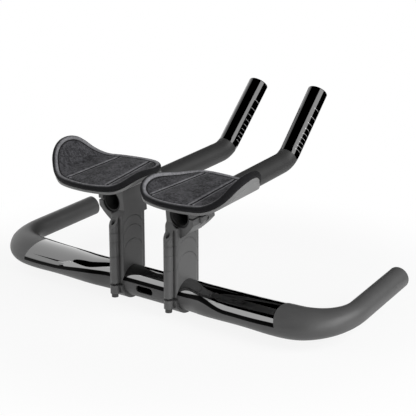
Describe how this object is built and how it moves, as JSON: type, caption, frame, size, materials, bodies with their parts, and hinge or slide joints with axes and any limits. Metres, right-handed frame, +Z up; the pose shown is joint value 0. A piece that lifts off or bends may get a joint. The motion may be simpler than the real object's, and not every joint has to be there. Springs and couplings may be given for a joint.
{
  "type": "time trial handlebar",
  "caption": "Time trial base bar with bent horns, stacked risers, sliding ski-bend extensions and padded forearm rests.",
  "frame": {"origin": "bar axis at the middle of the clamp zone, between the two risers", "axes": "+X to the rider's right along the bar, +Y forward, +Z up"},
  "size_m": [0.4466, 0.287, 0.1947],
  "materials": {
    "bar": "satin",
    "riser": "matte",
    "extension": "gloss",
    "steel": "satin",
    "cup": "matte",
    "pad": "matte",
    "fastener": "matte"
  },
  "bodies": {
    "cockpit": {"base_bar": "bar", "left_riser_base": "riser", "left_bar_cap": "riser", "left_spacer_15": "riser", "left_spacer_10": "riser", "left_extension_clamp": "riser", "left_riser_bolts": "steel", "left_pinch_screws": "steel", "left_armrest_cup": "cup", "left_armrest_screws": "steel", "left_pad_fastener": "fastener", "left_armrest_pad": "pad", "right_riser_base": "riser", "right_bar_cap": "riser", "right_spacer_15": "riser", "right_spacer_10": "riser", "right_extension_clamp": "riser", "right_riser_bolts": "steel", "right_pinch_screws": "steel", "right_armrest_cup": "cup", "right_armrest_screws": "steel", "right_pad_fastener": "fastener", "right_armrest_pad": "pad"},
    "left_tube": {"left_extension": "extension"},
    "right_tube": {"right_extension": "extension"}
  },
  "joints": [
    {"name": "left_reach", "type": "slide", "parent": "cockpit", "child": "left_tube", "axis": [0.0175, 0.9944, 0.1045], "range_m": [-0.08, 0]},
    {"name": "right_reach", "type": "slide", "parent": "cockpit", "child": "right_tube", "axis": [-0.0175, 0.9944, 0.1045], "range_m": [-0.08, 0]}
  ]
}
